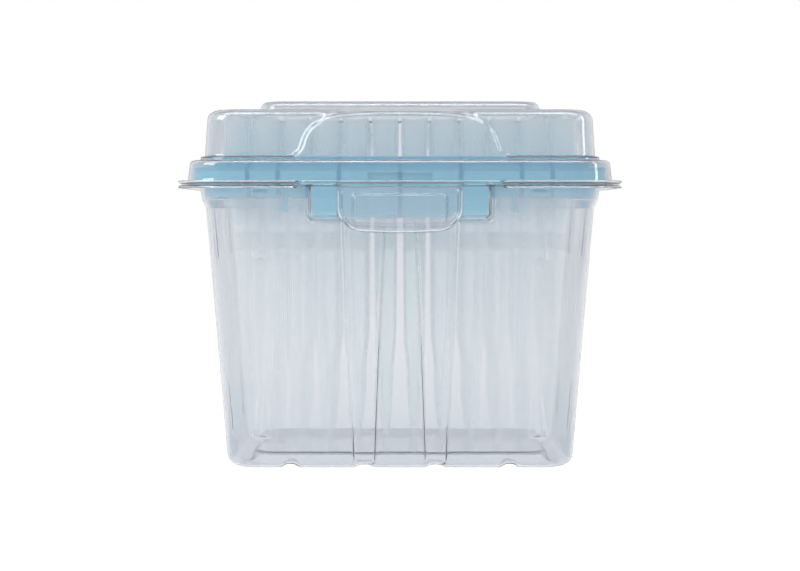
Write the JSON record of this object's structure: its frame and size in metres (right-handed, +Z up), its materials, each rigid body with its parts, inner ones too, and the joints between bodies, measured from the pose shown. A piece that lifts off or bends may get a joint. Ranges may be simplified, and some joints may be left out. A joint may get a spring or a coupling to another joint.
{
  "type": "box of pipette tips",
  "caption": "Clear thin-walled box with a hinged lid and front latch, holding a moulded tray of filtered pipette tips in straight rows.",
  "frame": {"origin": "bottom of the foot, under the middle of the whole box", "axes": "+Z up, +X to the right along the long front, -Y to the front with the latch, hinge at +Y"},
  "size_m": [0.1332, 0.0982, 0.1119],
  "materials": {
    "clear_shell": "clear thermoformed PET sheet",
    "tray_blue": "pale blue moulded polypropylene",
    "tip_plastic": "translucent natural polypropylene",
    "filter_white": "porous white polyethylene"
  },
  "bodies": {
    "base": {"base_tub": "clear_shell", "tip_tray": "tray_blue", "tips_column_01": "tip_plastic", "tips_column_02": "tip_plastic", "tips_column_03": "tip_plastic", "tips_column_04": "tip_plastic", "tips_column_05": "tip_plastic", "tips_column_06": "tip_plastic", "tips_column_07": "tip_plastic", "tips_column_08": "tip_plastic", "tips_column_09": "tip_plastic", "tips_column_10": "tip_plastic", "tips_column_11": "tip_plastic", "tips_column_12": "tip_plastic", "filters_column_01": "filter_white", "filters_column_02": "filter_white", "filters_column_03": "filter_white", "filters_column_04": "filter_white", "filters_column_05": "filter_white", "filters_column_06": "filter_white", "filters_column_07": "filter_white", "filters_column_08": "filter_white", "filters_column_09": "filter_white", "filters_column_10": "filter_white", "filters_column_11": "filter_white", "filters_column_12": "filter_white"},
    "lid_body": {"lid": "clear_shell"}
  },
  "joints": [
    {"name": "lid_hinge", "type": "hinge", "parent": "base", "child": "lid_body", "pos_m": [0, 0.04764, 0.08615], "axis": [-1, 0, 0], "range_deg": [0, 110]}
  ]
}
